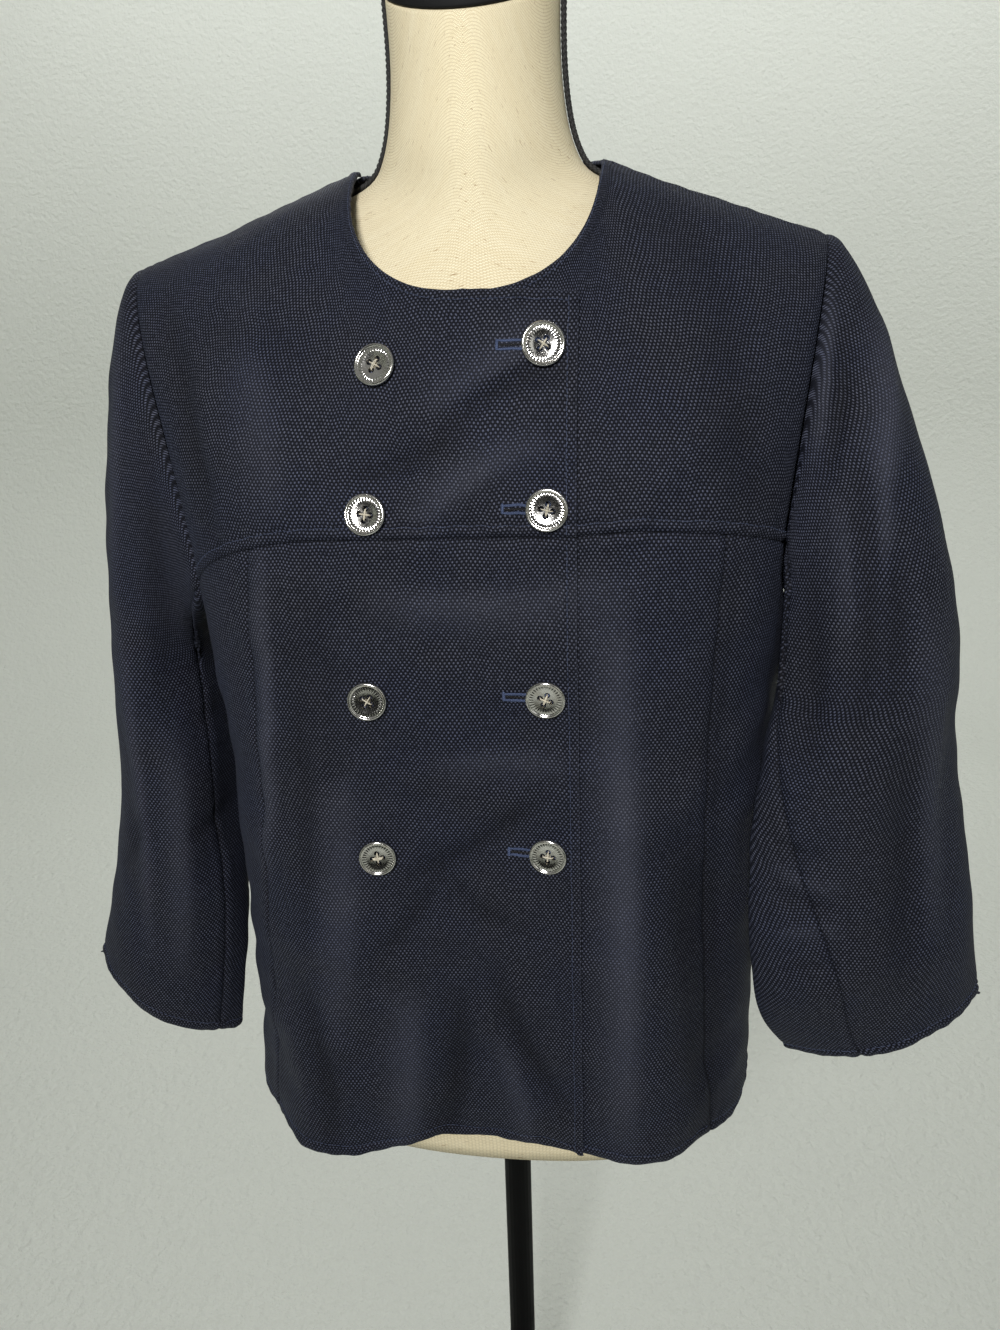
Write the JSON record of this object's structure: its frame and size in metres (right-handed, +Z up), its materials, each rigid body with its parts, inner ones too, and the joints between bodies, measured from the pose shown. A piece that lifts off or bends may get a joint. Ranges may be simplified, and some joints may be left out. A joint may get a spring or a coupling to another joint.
{
  "type": "double-breasted cropped jacket on a limbless dress form with stand",
  "caption": "Collarless double-breasted cropped jacket with set-in sleeves, front yokes and round metal buttons, on a limbless dress form with a pole and round base.",
  "frame": {"origin": "on the floor under the pole, at the middle of the base plate's underside", "axes": "+Z up the pole, -Y the jacket's front, +X the viewer's right when facing the front"},
  "size_m": [0.6899, 0.32, 1.4256],
  "materials": {
    "navy_linen": "matt basket-weave linen",
    "silver_metal": "polished cast metal",
    "cream_linen": "matt plain-weave linen stretched over the form",
    "black_cloth": "matt cloth",
    "black_braid": "braided cord",
    "black_metal": "satin black paint"
  },
  "bodies": {
    "root": {"back": "navy_linen", "base_collar": "black_metal", "base_plate": "black_metal", "braid_left": "black_braid", "braid_right": "black_braid", "button_left_1": "silver_metal", "button_left_2": "silver_metal", "button_left_3": "silver_metal", "button_left_4": "silver_metal", "button_right_1": "silver_metal", "button_right_2": "silver_metal", "button_right_3": "silver_metal", "button_right_4": "silver_metal", "centre_front_left": "navy_linen", "centre_front_right": "navy_linen", "form_torso": "cream_linen", "front_yoke_left": "navy_linen", "front_yoke_right": "navy_linen", "neck_cap": "black_cloth", "pole": "black_metal", "side_front_left": "navy_linen", "side_front_right": "navy_linen", "under_sleeve_left": "navy_linen", "under_sleeve_right": "navy_linen", "upper_sleeve_left": "navy_linen", "upper_sleeve_right": "navy_linen"}
  },
  "joints": []
}
